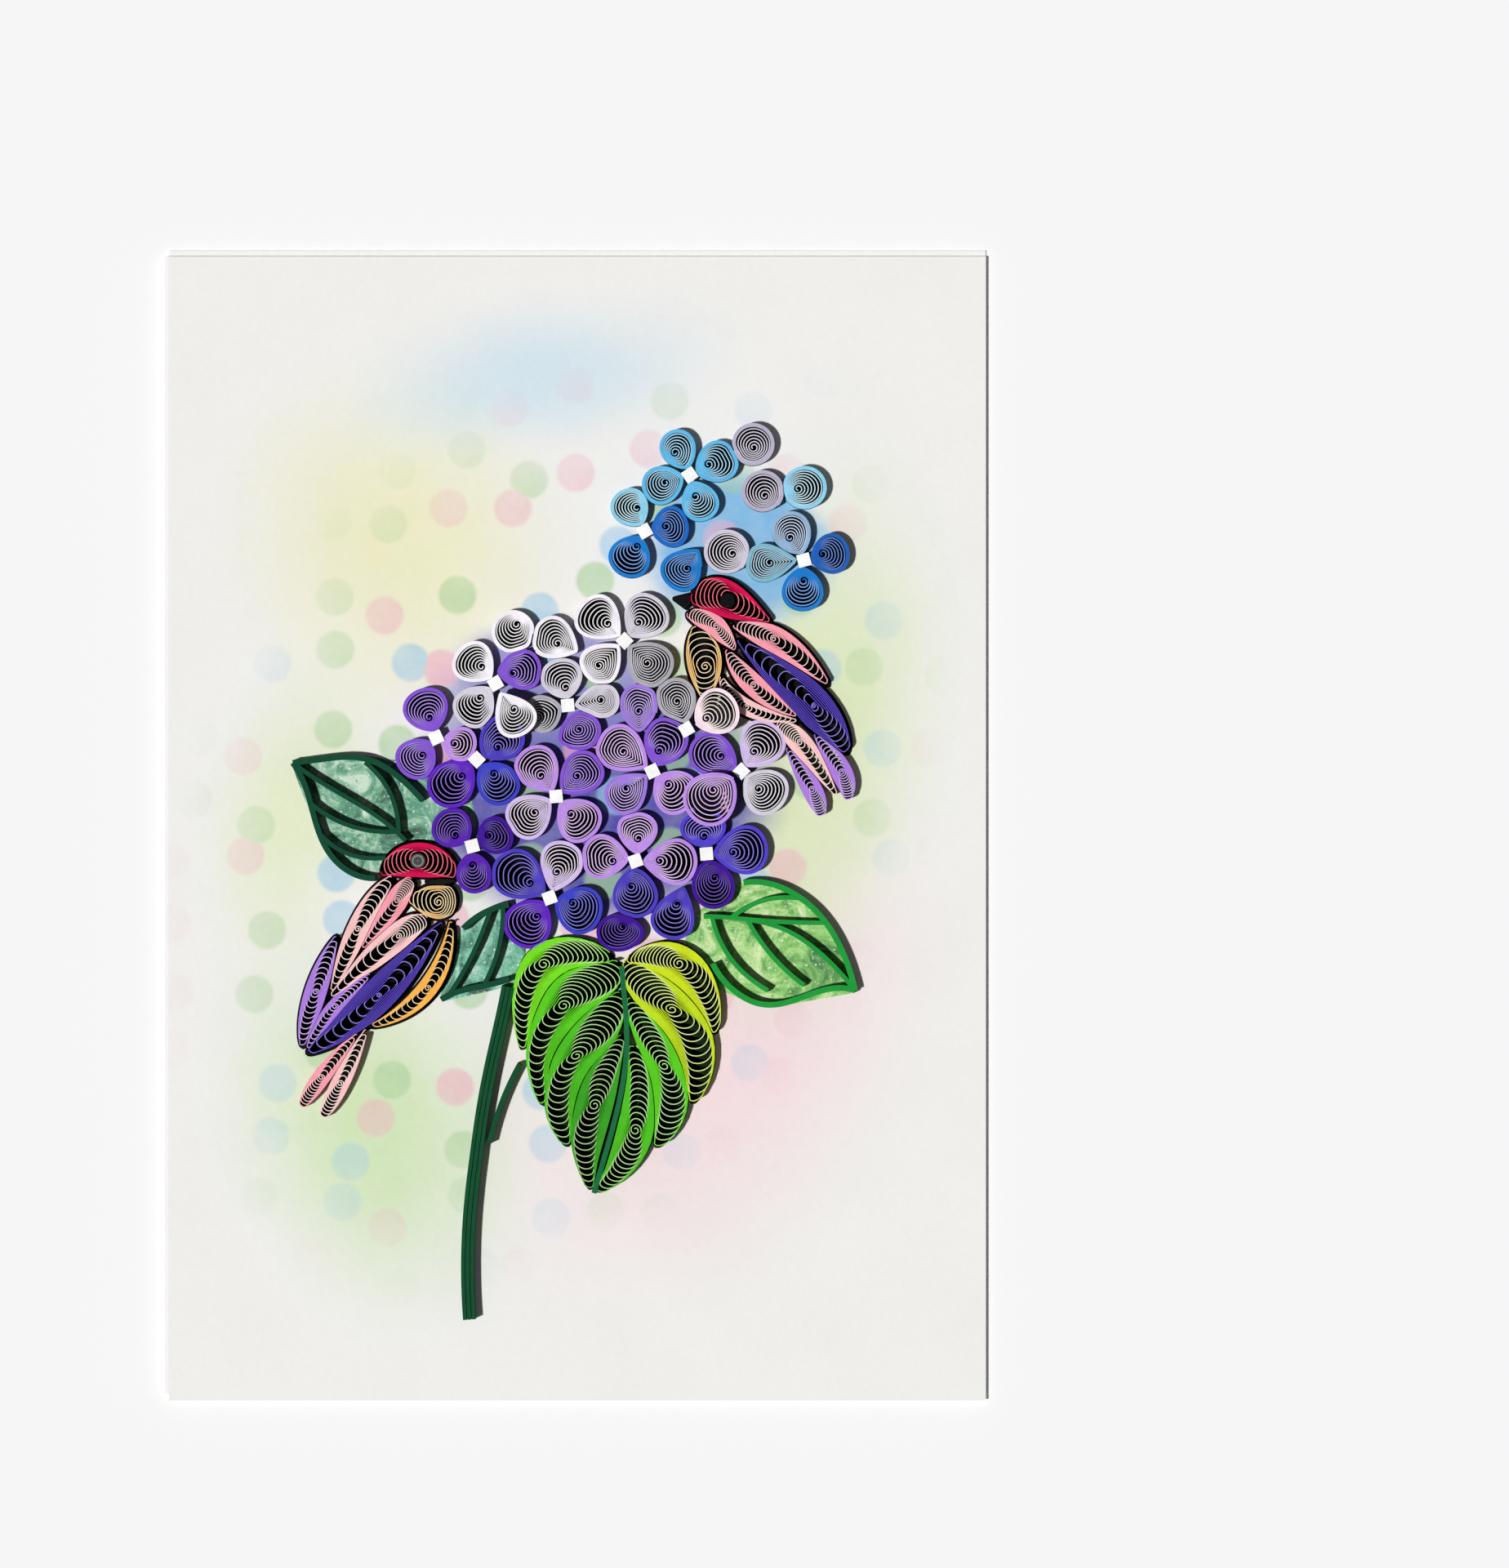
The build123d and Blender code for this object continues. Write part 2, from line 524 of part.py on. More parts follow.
# Outline leaves: edge strips joined by vein strips
for name, (edges, veins) in outline_leaves.items():
    with BuildPart() as outline_leaf:
        with BuildSketch(picture_plane(card_thickness)):
            for edge in edges:
                ribbon(edge, outline_width)
            for vein in veins:
                ribbon(vein, vein_width)
        extrude(amount=strip_height)
    save(outline_leaf.part, name)

# Stem of strips side by side, and its branch
with BuildPart() as stem:
    with BuildSketch(picture_plane(card_thickness)):
        for strip in range(stem_strips):
            ribbon(stem_path, stem_strip_width, (strip - (stem_strips - 1) / 2) * stem_strip_pitch)
    extrude(amount=strip_height)
save(stem.part, "stem")

with BuildPart() as stem_branch:
    with BuildSketch(picture_plane(card_thickness)):
        ribbon(branch_path, branch_width)
    extrude(amount=strip_height)
save(stem_branch.part, "stem_branch")
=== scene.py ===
import math
import random
import bmesh
import bpy
import numpy as np
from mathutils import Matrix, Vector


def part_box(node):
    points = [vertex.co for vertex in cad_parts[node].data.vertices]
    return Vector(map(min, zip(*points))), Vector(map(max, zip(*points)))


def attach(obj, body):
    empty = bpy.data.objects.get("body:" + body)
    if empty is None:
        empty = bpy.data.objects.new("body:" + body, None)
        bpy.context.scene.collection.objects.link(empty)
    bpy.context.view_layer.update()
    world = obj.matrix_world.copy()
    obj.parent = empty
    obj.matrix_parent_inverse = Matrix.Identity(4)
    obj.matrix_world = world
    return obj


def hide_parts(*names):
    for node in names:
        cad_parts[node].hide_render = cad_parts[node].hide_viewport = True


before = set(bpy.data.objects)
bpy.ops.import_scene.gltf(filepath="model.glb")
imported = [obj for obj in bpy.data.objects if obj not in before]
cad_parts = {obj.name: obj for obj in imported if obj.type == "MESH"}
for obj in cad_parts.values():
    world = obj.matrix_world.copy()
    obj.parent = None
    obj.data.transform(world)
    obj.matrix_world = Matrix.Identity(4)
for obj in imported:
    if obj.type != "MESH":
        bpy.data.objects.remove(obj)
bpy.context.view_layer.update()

mm = 0.001
leafSize = (127 * mm, 177.8 * mm)
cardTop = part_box("stem")[0].z  # the strips stand on the front leaf
frontLow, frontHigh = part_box("card")
frontMiddle = (frontHigh.x - leafSize[0] / 2, frontLow.y + leafSize[1] / 2)  # centre of the front leaf


# shader maths

class Flow:
    # one value, vector or colour in a node tree, with arithmetic for values
    def __init__(self, tree, socket=None):
        self.tree = tree
        self.socket = socket

    def node(self, kind, sockets=None, output=0, **settings):
        made = self.tree.nodes.new("ShaderNode" + kind)
        for key, value in settings.items():
            if key == "stops":
                ramp = made.color_ramp
                while len(ramp.elements) < len(value):
                    ramp.elements.new(0.5)
                for element, (place, colour) in zip(ramp.elements, value):
                    element.position = place
                    element.color = (*colour, 1)
            else:
                setattr(made, key, value)
        for key, value in (sockets or {}).items():
            if isinstance(value, Flow):
                self.tree.links.new(value.socket, made.inputs[key])
            elif value is not None:
                made.inputs[key].default_value = value
        return Flow(self.tree, made.outputs[output])

    def maths(self, operation, *others):
        sockets = {place: value for place, value in enumerate((self, *others))}
        return self.node("Math", sockets, operation=operation)

    def __add__(self, other):
        return self.maths("ADD", other)

    __radd__ = __add__

    def __mul__(self, other):
        return self.maths("MULTIPLY", other)

    __rmul__ = __mul__

    def __sub__(self, other):
        return self.maths("SUBTRACT", other)

    def __rsub__(self, other):
        return self.node("Math", {0: other, 1: self}, operation="SUBTRACT")

    def __truediv__(self, other):
        return self.maths("DIVIDE", other)

    def clamp(self):
        made = self.maths("ADD", 0.0)
        made.socket.node.use_clamp = True
        return made

    def smooth(self, low, high):
        # 0 below low, 1 above high
        return self.node("MapRange", {0: self, 1: low, 2: high, 3: 0.0, 4: 1.0},
                         interpolation_type="SMOOTHSTEP")

    def colour(self, value):
        made = self.node("RGB")
        made.socket.default_value = (*value, 1)
        return made

    def grey(self, tone):
        return self.node("CombineColor", {0: tone, 1: tone, 2: tone})

    def mixed(self, other, share, blend="MIX"):
        # colours: self where share is 0, other where it is 1
        made = self.tree.nodes.new("ShaderNodeMix")
        made.data_type = "RGBA"
        made.blend_type = blend
        for place, value in ((0, share), (6, self), (7, other)):
            if isinstance(value, Flow):
                self.tree.links.new(value.socket, made.inputs[place])
            else:
                made.inputs[place].default_value = (*value, 1) if isinstance(value, tuple) else value
        return Flow(self.tree, made.outputs[2])


def fromHex(text):
    channels = [int(text[place:place + 2], 16) / 255 for place in (1, 3, 5)]
    return tuple(c / 12.92 if c <= 0.04045 else ((c + 0.055) / 1.055) ** 2.4 for c in channels)


def shade(colour, factor):
    return tuple(min(1.0, channel * factor) for channel in colour)


def blendOf(first, second, share):
    return tuple(a * (1 - share) + b * share for a, b in zip(first, second))


def newMaterial(name):
    material = bpy.data.materials.new(name)
    material.use_nodes = True
    tree = material.node_tree
    shader = tree.nodes["Principled BSDF"]
    return material, Flow(tree), shader


def plug(flow, shader, socket):
    flow.tree.links.new(flow.socket, shader.inputs[socket])


def placed(name, data):
    made = bpy.data.objects.new(name, data)
    bpy.context.scene.collection.objects.link(made)
    return made


# papers

stripPaper = {
    "paleTint": (0.80, 0.76, 0.78), "paleGreen": (0.74, 0.80, 0.50), "paleWarm": (0.90, 0.74, 0.62),
    # the gains below lighten the strip tops and darken their sides: painted light and painted shade
    "palest": 0.55, "paleRate": 0.9, "paleLitGain": 1.5, "litEdgeGain": 1.12, "shadedWallGain": 0.5, "gapShadeGain": 0.05,
    "fibreScale": 2600.0, "fibreShare": 0.2, "streakScale": 420.0, "streakShare": 0.3, "leastTone": 0.76,
    "upwards": (0.3, 0.7), "roughness": 0.75, "specular": 0.12, "bump": 0.25, "bumpDepth": 0.04 * mm}

paperColours = {
    "sky": "#5FB4E0", "lightSky": "#8CCBE6", "royal": "#1B66BE", "strongBlue": "#1C78C8",
    "deepBlue": "#1F5CB0", "slate": "#8FAFD0", "greySky": "#7DB2C8", "greyLilac": "#B4AEC4",
    "paleGreyLilac": "#C9C2D2", "pearl": "#F0EAF2", "pearlGrey": "#CFCAD6", "grey": "#A8A6AE",
    "blush": "#F2DCE6", "lilac": "#B98BE0", "paleLilac": "#CDB8E4", "lightPurple": "#9C78D8",
    "purple": "#8052CC", "indigo": "#4A3CB8", "indigoBlue": "#3A3FBE", "violet": "#5E24BC",
    "blueViolet": "#4F3FC4", "deepViolet": "#5420A8", "darkViolet": "#3E1290", "pink": "#F79AA8",
    "palePink": "#FBC0C0", "crimson": "#DC0A52", "peach": "#F8C27C", "orange": "#F8B04C",
    "wingPurple": "#5A46C0", "birdLilac": "#A87AD8", "lime": "#72D81E", "leafGreen": "#56C61C",
    "brightGreen": "#4AB81E", "green": "#369C20", "yellowLime": "#C6DA1C", "yellow": "#BBD81C",
    "midribGreen": "#17683C", "edgeGreen": "#0B4630", "leafEdge": "#1C9438", "stemGreen": "#0C4A2B",
    # leafShade and petalShade are painted shade, for sheets laid in the gaps under leaf loops and petals
    "black": "#050506", "beakGreen": "#06120D", "leafShade": "#0A1E08", "petalShade": "#08060F",
    "white": "#FBFBFA"}


def stripMaterial(name):
    # paper on edge: full colour where turns lie packed, a pale top edge where they open, partly the paper's
    # fibrous edge and partly painted highlight; the top is drawn lighter than the paper as painted light and the
    # sides darker as painted shade, near black in the open gaps
    look = stripPaper
    colour = fromHex(paperColours[name])
    material, flow, shader = newMaterial(name + "Paper")
    place = flow.node("TexCoord", output=3)
    up = flow.node("SeparateXYZ", {0: flow.node("NewGeometry", output=1)}, output=2)
    loose = flow.node("Attribute", output=2, attribute_name="open")
    fibre = flow.node("TexNoise", {"Vector": place, "Scale": look["fibreScale"], "Detail": 2.0})
    streak = flow.node("TexNoise", {"Vector": place, "Scale": look["streakScale"], "Detail": 1.0})
    lightness = sum(colour) / 3
    tint = {0: "paleWarm", 1: "paleGreen", 2: "paleTint"}[colour.index(max(colour))]
    share = look["palest"] if tint == "paleGreen" else min(look["palest"], lightness * look["paleRate"])
    pale = blendOf(shade(colour, look["paleLitGain"]), look[tint], share)
    # painted highlight: the top of each strip lighter than its paper, pale where the turns open
    edge = flow.colour(shade(colour, look["litEdgeGain"])).mixed(pale, loose)
    # painted shade: the sides of each strip darker, near black where the turns open and the gaps are deep
    shadedWall = flow.colour(shade(colour, look["shadedWallGain"])).mixed(shade(colour, look["gapShadeGain"]), loose)
    tone = (fibre * look["fibreShare"] + streak * look["streakShare"]) + look["leastTone"]
    # top and sides split by which way the face points: lit and shaded copies of one paper
    tinted = shadedWall.mixed(edge, up.smooth(*look["upwards"])).mixed(flow.grey(tone), 1.0, "MULTIPLY")
    plug(tinted, shader, "Base Color")
    bump = flow.node("Bump", {"Strength": look["bump"], "Distance": look["bumpDepth"], "Height": fibre})
    plug(bump, shader, "Normal")
    shader.inputs["Roughness"].default_value = look["roughness"]
    shader.inputs["Specular IOR Level"].default_value = look["specular"]
    return material


papers = {name: stripMaterial(name) for name in paperColours}
print("papers", len(papers))


# outlines read from the frame

outlineLook = {"weld": 1e-7, "upwards": 0.9, "lowLevel": 3.5 * mm, "points": 160, "beside": 9 * mm}


def outlinesOf(node):
    # every coil of a node: its outline from above, its foot and its top
    work = bmesh.new()
    work.from_mesh(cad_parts[node].data)
    bmesh.ops.remove_doubles(work, verts=work.verts, dist=outlineLook["weld"])
    waiting = {face for face in work.faces if face.normal.z > outlineLook["upwards"]}
    found = []
    while waiting:
        heap = [waiting.pop()]
        patch = set(heap)
        while heap:
            for edge in heap.pop().edges:
                for beside in edge.link_faces:
                    if beside in waiting:
                        waiting.remove(beside)
                        patch.add(beside)
                        heap.append(beside)
        rim = {}
        for face in patch:
            for corner in face.loops:
                if not any(other in patch for other in corner.edge.link_faces if other is not face):
                    rim.setdefault(corner.vert, []).append(corner.link_loop_next.vert)
        loops = []
        while rim:
            start = next(iter(rim))
            loop = [start]
            step = rim.pop(start)[0]
            while step is not start and step in rim:
                loop.append(step)
                step = rim.pop(step)[0]
            loops.append(np.array([vert.co[:] for vert in loop]))
        outer = max(loops, key=lambda loop: np.ptp(loop[:, 0]) * np.ptp(loop[:, 1]))
        top = float(outer[:, 2].mean())
        low = top < cardTop + outlineLook["lowLevel"]
        foot = cardTop if low else top - (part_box("stem")[1].z - cardTop)
        found.append({"outline": outer[:, :2], "top": top, "foot": foot, "middle": outer[:, :2].mean(0)})
    work.free()
    return found


def resampled(points, count, closed=True):
    # the same line with evenly spaced points
    line = np.vstack([points, points[:1]]) if closed else points
    steps = np.hypot(*np.diff(line, axis=0).T)
    along = np.concatenate([[0], np.cumsum(steps)])
    at = np.linspace(0, along[-1], count + 1)[:count] if closed else np.linspace(0, along[-1], count)
    return np.stack([np.interp(at, along, line[:, axis]) for axis in (0, 1)], 1)


def outwardOf(rim):
    # the way out at each point of a closed line, and 1 where the line runs anticlockwise, else -1
    run = np.roll(rim, -2, 0) - np.roll(rim, 2, 0)
    after = np.roll(rim, -1, 0)
    way = np.sign((rim[:, 0] * after[:, 1] - rim[:, 1] * after[:, 0]).sum())
    return np.stack([run[:, 1], -run[:, 0]], 1) / np.maximum(np.hypot(*run.T), 1e-9)[:, None] * way, way


# coils

coilLook = {
    "strip": 0.16 * mm, "pitch": 0.14 * mm, "wraps": 4, "farPitch": 0.5 * mm, "turns": (4, 6),
    "core": 0.72 * mm, "coreRoom": 0.3 * mm, "around": 48, "leastSlope": 0.4, "hook": 1.15, "hookEnd": 0.3,
    "tight": 0.16, "looseRate": 6, "heightPlay": 0.07 * mm, "waves": 3, "waveRates": (0.02, 0.12)}

packedLook = {
    "strip": 0.14 * mm, "turns": 10, "band": 0.58, "core": 0.45 * mm, "roundness": 0.85, "lean": 0.0,
    "arc": 6, "flank": 14, "hook": 1.2, "hookEnd": 0.25, "rimPoints": 240, "sidePoints": 80,
    "thin": 0.05 * mm, "closing": 6, "tipRoom": 0.3 * mm, "eyeRoom": 0.9, "leanRate": 3, "looseRate": 8}


def looseCoil(outline, eye, look):
    # a coil that lies packed at its rim and at the side where its eye is, open elsewhere
    count = look["around"]
    rim = resampled(outline, count)
    rays = rim - eye
    lengths = np.hypot(*rays.T)
    run = np.roll(rim, -1, 0) - np.roll(rim, 1, 0)
    run /= np.hypot(*run.T)[:, None]
    rate = np.maximum(abs(rays[:, 0] * run[:, 1] - rays[:, 1] * run[:, 0]), lengths * look["leastSlope"])
    rim = rays * (1 - look["pitch"] * (look["wraps"] + 0.5) / rate)[:, None]
    reach = np.hypot(*rim.T)
    near, far = reach.min(), reach.max()
    core = min(look["core"], near - look["coreRoom"])
    turns = min(look["turns"][1], max(look["turns"][0], round((far - core) / look["farPitch"])))
    opening = (reach - core) / turns / mm
    path, loose = [], []
    for step in range(int((look["wraps"] + turns + look["hook"]) * count)):
        turn = step / count
        index = step % count
        inward = turn - look["wraps"]
        if inward < 0:
            spot = rays[index] * (1 - look["pitch"] * (0.5 + turn) / rate[index])
        else:
            radius = core + (reach[index] - core) * (1 - inward / turns)
            if inward > turns:
                radius = core * (1 - (1 - look["hookEnd"]) * (inward - turns) / look["hook"])
            spot = rim[index] / reach[index] * radius
        path.append(eye + spot)
        wide = min(1.0, max(0.0, (opening[index] - look["tight"]) * look["looseRate"]))
        loose.append(wide if 0 < inward else 0.0)
    return np.array(path), np.array(loose)


def tipsOf(outline):
    # the two ends of a long outline
    apart = np.hypot(*(outline[:, None] - outline[None]).transpose(2, 0, 1))
    return np.unravel_index(apart.argmax(), apart.shape)


def packedCoil(outline, look, seen=None):
    # a coil pressed along both its sides, with a chain of open turns from each end to its eye
    rim = resampled(outline, look["rimPoints"])
    first, second = sorted(tipsOf(rim))
    halves = rim[first:second + 1], np.vstack([rim[second:], rim[:first + 1]])[::-1]
    sides = [resampled(half, look["sidePoints"], False) for half in halves]
    if sides[0][0][1] < sides[0][-1][1]:
        sides = [sides[1][::-1], sides[0][::-1]]
    middle = (sides[0] + sides[1]) / 2
    across = sides[0] - sides[1]
    half = np.hypot(*across.T) / 2
    across[0], across[-1] = across[1], across[-2]
    across /= np.hypot(*across.T)[:, None]
    along = np.concatenate([[0], np.cumsum(np.hypot(*np.diff(middle, axis=0).T))])
    length, peak = along[-1], half.argmax()
    rising = np.maximum.accumulate(half[:peak + 1])
    falling = np.maximum.accumulate(half[:peak - 1:-1])
    eyeAt = along[peak] if seen is None else along[np.hypot(*(middle - seen).T).argmin()]
    halfEye = np.interp(eyeAt, along, half)
    band = look["band"] * halfEye
    core = min(look["core"], halfEye - band)
    leanSide = look["lean"]
    if leanSide:
        leanSide *= np.sign(across[len(across) // 2] @ (middle[len(middle) // 2] - look["awayFrom"]))
    arc, flank, thin = look["arc"], look["flank"], look["thin"]
    around = 4 * arc + 2 * flank
    path, loose = [], []
    for step in range(int((look["turns"] + look["hook"]) * around)):
        share = step / around / look["turns"]
        index = step % around
        turning = 1.0
        if share > 1:
            radius = core * (1 - (1 - look["hookEnd"]) * (share - 1) * look["turns"] / look["hook"])
            turned = math.pi - 2 * math.pi * index / around
            x, y = eyeAt + radius * math.cos(turned), radius * math.sin(turned)
            depth = 0.0
        else:
            depth = look["strip"] / 2 + band * share
            closing = share ** look["closing"]

            def room(at):
                return max(thin, np.interp(at, along, half) - depth) * (1 - closing) + core * closing

            start = max(np.interp(depth + thin, rising, along[:peak + 1]), (eyeAt - core) * share)
            end = min(np.interp(depth + thin, falling, along[:peak - 1:-1]),
                      length - (length - eyeAt - core) * share)
            start, end = min(start, eyeAt - core * look["eyeRoom"]), max(end, eyeAt + core * look["eyeRoom"])
            startRound = min(eyeAt - start, look["roundness"] * room(start + look["tipRoom"]))
            endRound = min(end - eyeAt, look["roundness"] * room(end - look["tipRoom"]))
            left, right = start + startRound, end - endRound
            if index < arc:
                turned = math.pi - math.pi / 2 * index / arc
                x, y = left + startRound * math.cos(turned), room(left) * math.sin(turned)
            elif index < arc + flank:
                x = left + (right - left) * (index - arc) / flank
                y, turning = room(x), 0.0
            elif index < 3 * arc + flank:
                turned = math.pi / 2 - math.pi / 2 * (index - arc - flank) / arc
                x, y = right + endRound * math.cos(turned), room(right) * math.sin(turned)
            elif index < 3 * arc + 2 * flank:
                x = right + (left - right) * (index - 3 * arc - flank) / flank
                y, turning = -room(x), 0.0
            else:
                turned = -math.pi / 2 - math.pi / 2 * (index - 3 * arc - 2 * flank) / arc
                x, y = left + startRound * math.cos(turned), room(left) * math.sin(turned)
            y += leanSide * depth * min(1.0, max(0.0, (x - eyeAt) / (length - eyeAt) * look["leanRate"]))
        path.append([np.interp(x, along, middle[:, axis]) + y * np.interp(x, along, across[:, axis])
                     for axis in (0, 1)])
        loose.append(turning * min(1.0, share * look["looseRate"]))
    return np.array(path), np.array(loose)


class StripMesh:
    # strips on edge gathered into one mesh, each with its own paper
    def __init__(self):
        self.spots = []
        self.faces = []
        self.papers = []
        self.loose = []
        self.used = []

    def lay(self, coil, foot, top, strip, paper, play=0.0, seed=0):
        path, loose = coil
        self.loose += list(np.repeat(loose, 4))
        along = np.gradient(path, axis=0)
        length = np.maximum(np.hypot(*along.T), 1e-9)[:, None]
        side = np.stack([-along[:, 1], along[:, 0]], 1) / length * strip / 2
        count = len(path)
        lift = random.Random(int(seed))
        swells = coilLook["waves"]
        waves = [(lift.uniform(*coilLook["waveRates"]), lift.uniform(0, 6.3)) for _ in range(swells)]
        steps = np.arange(count)
        tops = top - play * (0.5 + sum(np.sin(steps * rate + phase) for rate, phase in waves) / (2 * swells))
        first = len(self.spots)
        left, right = path + side, path - side
        for place in range(count):
            self.spots += [(*left[place], foot), (*left[place], tops[place]),
                           (*right[place], tops[place]), (*right[place], foot)]
        for place in range(count - 1):
            a = first + 4 * place
            b = a + 4
            self.faces += [(a, a + 1, b + 1, b), (a + 3, b + 3, b + 2, a + 2), (a + 1, a + 2, b + 2, b + 1),
                           (a, b, b + 3, a + 3)]
        last = first + 4 * (count - 1)
        self.faces += [(first, first + 3, first + 2, first + 1), (last, last + 1, last + 2, last + 3)]
        if paper not in self.used:
            self.used.append(paper)
        self.papers += [self.used.index(paper)] * (4 * (count - 1) + 2)

    def piece(self, name):
        mesh = bpy.data.meshes.new(name)
        mesh.from_pydata(self.spots, [], self.faces)
        for paper in self.used:
            mesh.materials.append(papers[paper])
        mesh.polygons.foreach_set("material_index", self.papers)
        mesh.attributes.new("open", "FLOAT", "POINT").data.foreach_set("value", self.loose)
        mesh.update()
        return placed(name, mesh)


def standFor(piece, node):
    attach(piece, "root")
    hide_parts(node)


# petal papers of each flower, anticlockwise from the +X side
flowerPapers = {
    "sky_flower": ["sky", "sky", "sky", "sky"],
    "blue_flower": ["royal", "lightSky", "strongBlue"],
    "slate_flower": ["deepBlue", "slate", "greySky", "strongBlue"],
    "pearl_flower_left": ["pearl", "pearlGrey", "pearl"],
    "pearl_flower_middle": ["pearlGrey", "pearlGrey", "grey"],
    "violet_flower_left": ["purple", "purple", "lilac"],
    "indigo_flower_left": ["indigo", "violet", "indigoBlue"],
    "lilac_flower_middle": ["purple", "lilac", "paleLilac", "lilac"],
    "pearl_flower_top": ["pearlGrey", "pearl", "pearl", "grey"],
    "pearl_flower_right": ["blush", "grey"],
    "lilac_flower_centre": ["purple", "lilac", "lightPurple", "lilac"],
    "lilac_flower_right": ["paleLilac", "purple", "lilac", "pearlGrey"],
    "violet_flower_low": ["darkViolet", "deepViolet", "deepViolet"],
    "indigo_flower_low": ["paleLilac", "indigo", "violet", "indigoBlue"],
    "lilac_flower_low": ["lilac", "lilac", "indigo", "lilac"],
    "indigo_flower_right": ["blueViolet", "blueViolet", "darkViolet"]}
# single coils, left to right: paper, and the way from the middle to the eye
singlePapers = {
    "blue_single_coils": [("strongBlue", 45), ("paleGreyLilac", -30), ("greyLilac", -50), ("greyLilac", -40),
                          ("lightSky", 200)],
    "pearl_single_coils": [("pearl", 60), ("pearl", 60)],
    "violet_single_coils": [("purple", 200), ("purple", 120), ("lightPurple", 280)],
    "indigo_single_coils": [("darkViolet", 60), ("indigo", 75)]}
petalLook = {
    "nearShare": 0.66, "shareSwing": 0.06, "swing": 0.5, "seed": 5, "grow": 0.3 * mm, "eyeStep": 0.03 * mm,
    "seenWithin": 2.3 * mm, "seenInside": 1.4 * mm, "points": 60}
squares = [found["middle"] for found in outlinesOf("flower_centres")]


# where the middle of a coil was wound, from the centre of the front leaf, in mm
eyeSpots = [
    (20.4, 56.5), (15.2, 58.3), (13.7, 53.6), (18.4, 51.5), (13.8, 46.9), (9.3, 49.7), (9.3, 43.7),
    (38.1, 42.6), (33.0, 45.1), (29.9, 41.2), (35.2, 38.4), (27.4, 59.1), (29.1, 51.6), (34.3, 52.7),
    (24.1, 42.6), (17.1, 40.3), (3.4, 25.3), (10.9, 25.7), (-3.0, 28.7), (-1.8, 21.9), (3.7, 20.0),
    (-6.1, 17.3), (9.6, 18.2), (0.3, 15.4), (15.5, 19.7), (20.1, 17.1), (7.2, 11.9), (12.7, 12.1),
    (7.7, 6.2), (14.2, 6.9), (22.3, 11.2), (21.2, 6.0), (-5.6, 8.2), (0.0, 8.2), (-6.5, 2.5), (-0.9, 2.3)]
eyeSpots = np.array(eyeSpots) * mm + frontMiddle


def grow(coils, most, fixed=()):
    # outlines pushed outwards until neighbours of the same height touch
    for coil in (*coils, *fixed):
        coil["rim"] = resampled(coil["outline"], outlineLook["points"])
    for coil in coils:
        rim = coil["rim"]
        beside = [other["rim"] for other in (*coils, *fixed)
                  if other is not coil and abs(other["top"] - coil["top"]) < mm]
        beside = np.vstack(beside)
        beside = beside[np.hypot(*(beside - coil["middle"]).T) < outlineLook["beside"]]
        free = np.full(len(rim), most)
        if len(beside):
            free = np.minimum(most, np.hypot(*(rim[:, None] - beside[None]).transpose(2, 0, 1)).min(1) / 2)
        free = (np.roll(free, 3) + free + np.roll(free, -3)) / 3
        coil["outline"] = rim + outwardOf(rim)[0] * free[:, None]


def centreOf(petals):
    # the paper square that all the petals of a flower point to
    return min(squares, key=lambda spot: max(np.hypot(*(petal["outline"] - spot).T).min() for petal in petals))


def eyeTowards(outline, heading, nearShare):
    # the eye where it was seen, or moved from the middle until its nearest side is at a share of where it was
    seen = eyeSpots[np.hypot(*(eyeSpots - outline.mean(0)).T).argmin()]
    away, inside = np.hypot(*(seen - outline.mean(0))), np.hypot(*(outline - seen).T).min()
    if away < petalLook["seenWithin"] and inside > petalLook["seenInside"]:
        return seen
    rim = resampled(outline, petalLook["points"])
    eye = rim.mean(0)
    widest = np.hypot(*(rim - eye).T).min()
    while np.hypot(*(rim - eye).T).min() > nearShare * widest:
        eye = eye + petalLook["eyeStep"] * np.array([math.cos(heading), math.sin(heading)])
    return eye


coilsOf = {node: outlinesOf(node) for node in (*flowerPapers, *singlePapers)}
grow([coil for coils in coilsOf.values() for coil in coils], petalLook["grow"])
draw = random.Random(petalLook["seed"])
for node, paperNames in flowerPapers.items():
    petals = coilsOf[node]
    centre = centreOf(petals)
    petals.sort(key=lambda petal: math.atan2(*(petal["middle"] - centre)[::-1]) % (2 * math.pi))
    strips = StripMesh()
    for petal, paper in zip(petals, paperNames):
        outline = petal["outline"]
        tip = np.hypot(*(outline - centre).T).argmin()
        outline = np.roll(outline, -tip, 0)
        reach = outline[0] - petal["middle"]
        heading = math.atan2(reach[1], reach[0]) + draw.uniform(-1, 1) * petalLook["swing"]
        shift = draw.uniform(-petalLook["shareSwing"], petalLook["shareSwing"])
        eye = eyeTowards(outline, heading, petalLook["nearShare"] + shift)
        strips.lay(looseCoil(outline, eye, coilLook), petal["foot"], petal["top"], coilLook["strip"], paper,
                   coilLook["heightPlay"], tip)
    standFor(strips.piece(node + "_coils"), node)
print("flowers", len(flowerPapers))

for node, coils in singlePapers.items():
    found = sorted(coilsOf[node], key=lambda coil: coil["middle"][0])
    strips = StripMesh()
    for coil, (paper, heading) in zip(found, coils):
        eye = eyeTowards(coil["outline"], math.radians(heading), petalLook["nearShare"])
        strips.lay(looseCoil(coil["outline"], eye, coilLook), coil["foot"], coil["top"], coilLook["strip"],
                   paper, coilLook["heightPlay"], len(paper))
    standFor(strips.piece(node + "_strips"), node)
print("single coils")

